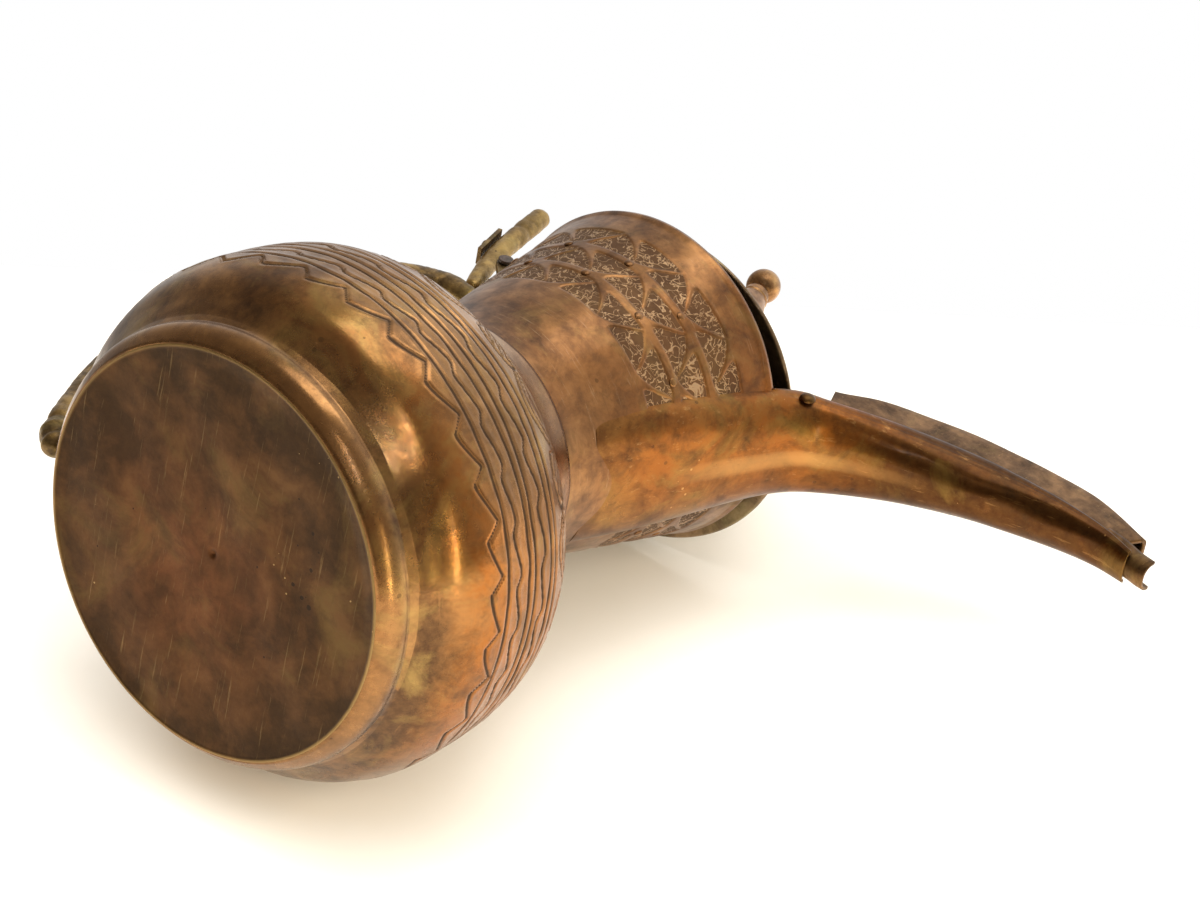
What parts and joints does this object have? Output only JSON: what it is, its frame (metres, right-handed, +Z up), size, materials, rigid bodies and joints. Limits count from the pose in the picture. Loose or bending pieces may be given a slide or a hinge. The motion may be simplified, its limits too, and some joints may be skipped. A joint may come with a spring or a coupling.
{
  "type": "coffee pot",
  "caption": "Dallah coffee pot: squat bulb, tapering neck, long covered beak spout, curved cast handle and a domed lid on a rear hinge.",
  "frame": {"origin": "centre of the base plate's underside, on the surface the pot stands on", "axes": "+Z up along the bulb's and neck's axis, +X towards the spout, -X towards the handle and hinge"},
  "size_m": [0.2451, 0.1416, 0.261],
  "materials": {
    "bulb_brass": "beaten sheet, rubbed bright over brown patina",
    "base_brass": "dull mottled olive and red-brown patina",
    "neck_brass": "satin, chased band, fine scratches",
    "spout_brass": "satin, rubbed bright",
    "hood_brass": "dark olive-brown patina",
    "handle_brass": "rough casting, blackened, worn golden on the high places",
    "lid_brass": "dull brown-grey patina",
    "finial_brass": "satin brown",
    "pin_iron": "rusted brown-black"
  },
  "bodies": {
    "pot": {"bulb_shell": "bulb_brass", "base_plate": "base_brass", "neck_shell": "neck_brass", "spout_trough": "spout_brass", "spout_hood": "hood_brass", "spout_rivet": "spout_brass", "handle_plate": "handle_brass", "handle_rivet_lower_right": "handle_brass", "handle_rivet_lower_left": "handle_brass", "handle_rivet_upper_right": "handle_brass", "handle_rivet_upper_left": "handle_brass", "handle_grip": "handle_brass", "thumb_rest": "handle_brass", "thumb_plate": "handle_brass", "thumb_rivet": "handle_brass", "hinge_bracket": "handle_brass", "hinge_pin": "pin_iron"},
    "lid": {"lid_flange": "lid_brass", "lid_dome": "lid_brass", "finial_collar": "finial_brass", "finial_spire": "finial_brass", "finial_washer": "lid_brass", "finial_knob": "finial_brass", "lid_strap": "handle_brass", "lid_rivet_1": "handle_brass", "lid_rivet_2": "handle_brass"}
  },
  "joints": [
    {"name": "lid_hinge", "type": "hinge", "parent": "pot", "child": "lid", "pos_m": [-0.054, 0, 0.1788], "axis": [0, -1, 0], "range_deg": [0, 68]}
  ]
}
